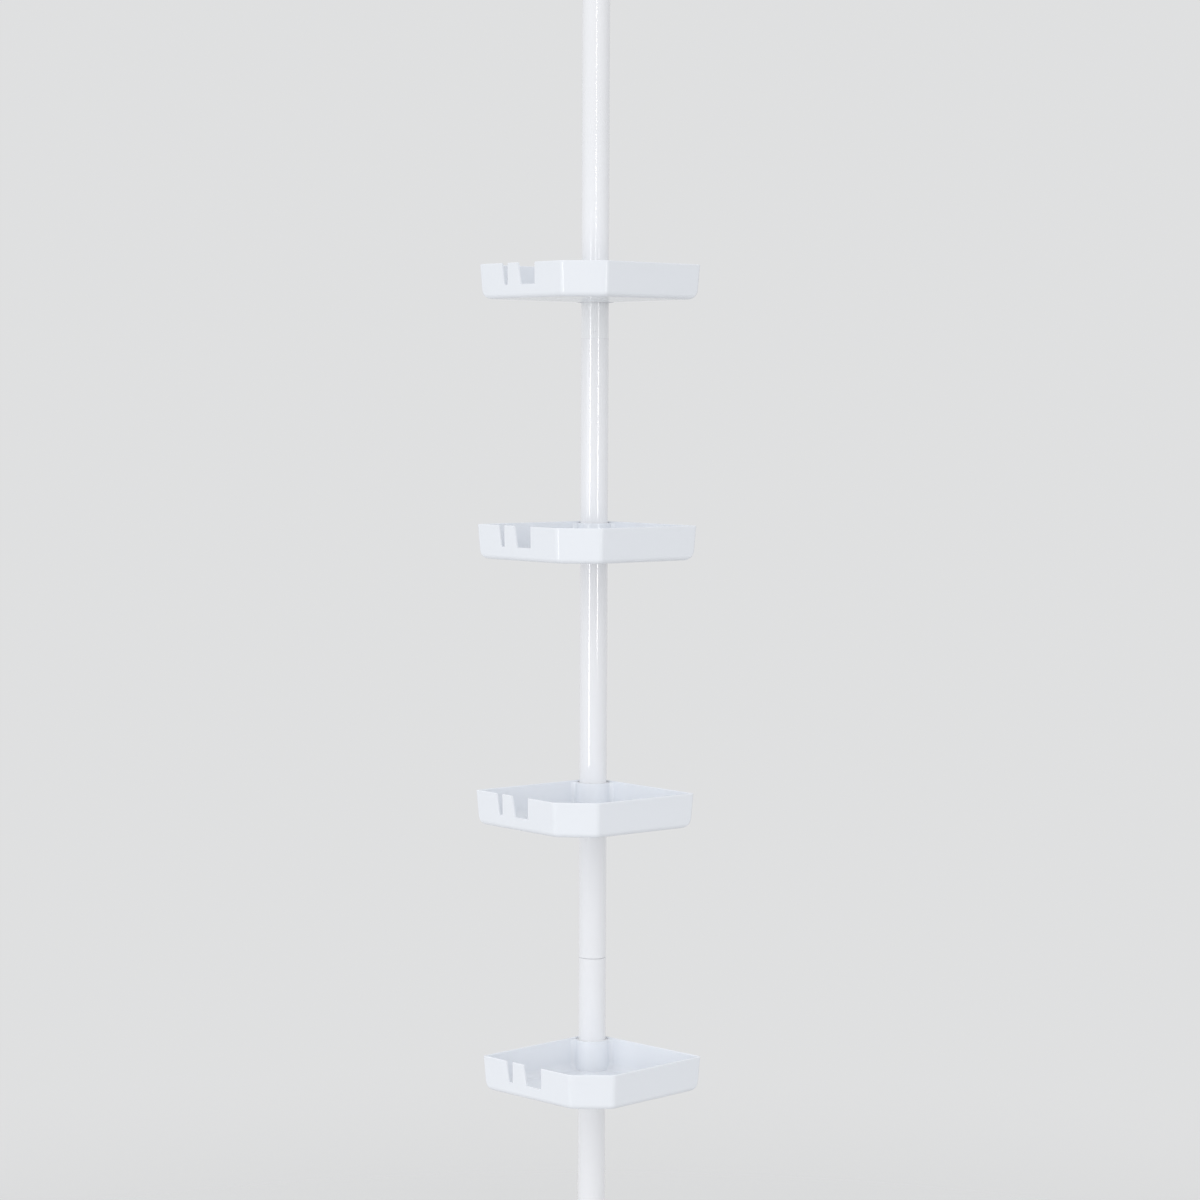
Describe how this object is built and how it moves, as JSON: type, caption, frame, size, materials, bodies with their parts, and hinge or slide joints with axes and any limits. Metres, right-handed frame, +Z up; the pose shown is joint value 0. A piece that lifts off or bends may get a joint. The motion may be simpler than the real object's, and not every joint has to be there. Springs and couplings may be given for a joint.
{
  "type": "tension pole shelf unit",
  "caption": "Tension pole caddy: a telescopic sprung pole between floor and ceiling that carries corner trays with slotted fronts.",
  "frame": {"origin": "centre of the foot pad's underside, on the pole's axis", "axes": "+Z up along the pole; the trays' cut-off front corners face -Y, and +X is to the viewer's right"},
  "size_m": [0.2028, 0.1856, 1.9986],
  "materials": {
    "pole_paint": "gloss white paint",
    "tray_plastic": "gloss moulded white",
    "fitting": "satin moulded white",
    "rubber": "matt pale grey rubber",
    "spring_steel": "drawn steel wire",
    "zinc_steel": "bright zinc plate"
  },
  "bodies": {
    "pole": {"foot_pad": "rubber", "foot_cup": "fitting", "lower_tube": "pole_paint", "middle_tube": "pole_paint", "joint_coupler": "fitting", "upper_tube": "pole_paint", "lock_collet": "fitting"},
    "lock_nut": {"lock_nut": "fitting"},
    "extension": {"extension_tube": "pole_paint", "tube_glide": "fitting", "spring_seat": "fitting", "tension_spring": "spring_steel", "top_bush": "fitting"},
    "sprung_end": {"plunger": "zinc_steel", "top_cup": "fitting", "top_pad": "rubber"},
    "clips_1": {"clip_1_left": "fitting", "clip_1_right": "fitting"},
    "shelf_1": {"tray_1": "tray_plastic"},
    "clips_2": {"clip_2_left": "fitting", "clip_2_right": "fitting"},
    "shelf_2": {"tray_2": "tray_plastic"},
    "clips_3": {"clip_3_left": "fitting", "clip_3_right": "fitting"},
    "shelf_3": {"tray_3": "tray_plastic"},
    "clips_4": {"clip_4_left": "fitting", "clip_4_right": "fitting"},
    "shelf_4": {"tray_4": "tray_plastic"}
  },
  "joints": [
    {"name": "lock_nut_turn", "type": "hinge", "parent": "pole", "child": "lock_nut", "pos_m": [0, 0, 1.745], "axis": [0, 0, 1], "range_deg": [0, 270]},
    {"name": "extension_slide", "type": "slide", "parent": "pole", "child": "extension", "axis": [0, 0, 1], "range_m": [-0.15, 0.265]},
    {"name": "top_plunge", "type": "slide", "parent": "extension", "child": "sprung_end", "axis": [0, 0, 1], "range_m": [-0.035, 0], "stiffness_N_per_m": 3200, "deforming": ["tension_spring"]},
    {"name": "shelf_1_height", "type": "slide", "parent": "pole", "child": "clips_1", "axis": [0, 0, 1], "range_m": [-0.095, 0.095]},
    {"name": "shelf_1_swivel", "type": "hinge", "parent": "clips_1", "child": "shelf_1", "pos_m": [0, 0, 1.2125], "axis": [0, 0, 1], "continuous": true},
    {"name": "shelf_2_height", "type": "slide", "parent": "pole", "child": "clips_2", "axis": [0, 0, 1], "range_m": [-0.095, 0.095]},
    {"name": "shelf_2_swivel", "type": "hinge", "parent": "clips_2", "child": "shelf_2", "pos_m": [0, 0, 0.9815], "axis": [0, 0, 1], "continuous": true},
    {"name": "shelf_3_height", "type": "slide", "parent": "pole", "child": "clips_3", "axis": [0, 0, 1], "range_m": [-0.095, 0.095]},
    {"name": "shelf_3_swivel", "type": "hinge", "parent": "clips_3", "child": "shelf_3", "pos_m": [0, 0, 0.742], "axis": [0, 0, 1], "continuous": true},
    {"name": "shelf_4_height", "type": "slide", "parent": "pole", "child": "clips_4", "axis": [0, 0, 1], "range_m": [-0.095, 0.095]},
    {"name": "shelf_4_swivel", "type": "hinge", "parent": "clips_4", "child": "shelf_4", "pos_m": [0, 0, 0.502], "axis": [0, 0, 1], "continuous": true}
  ]
}
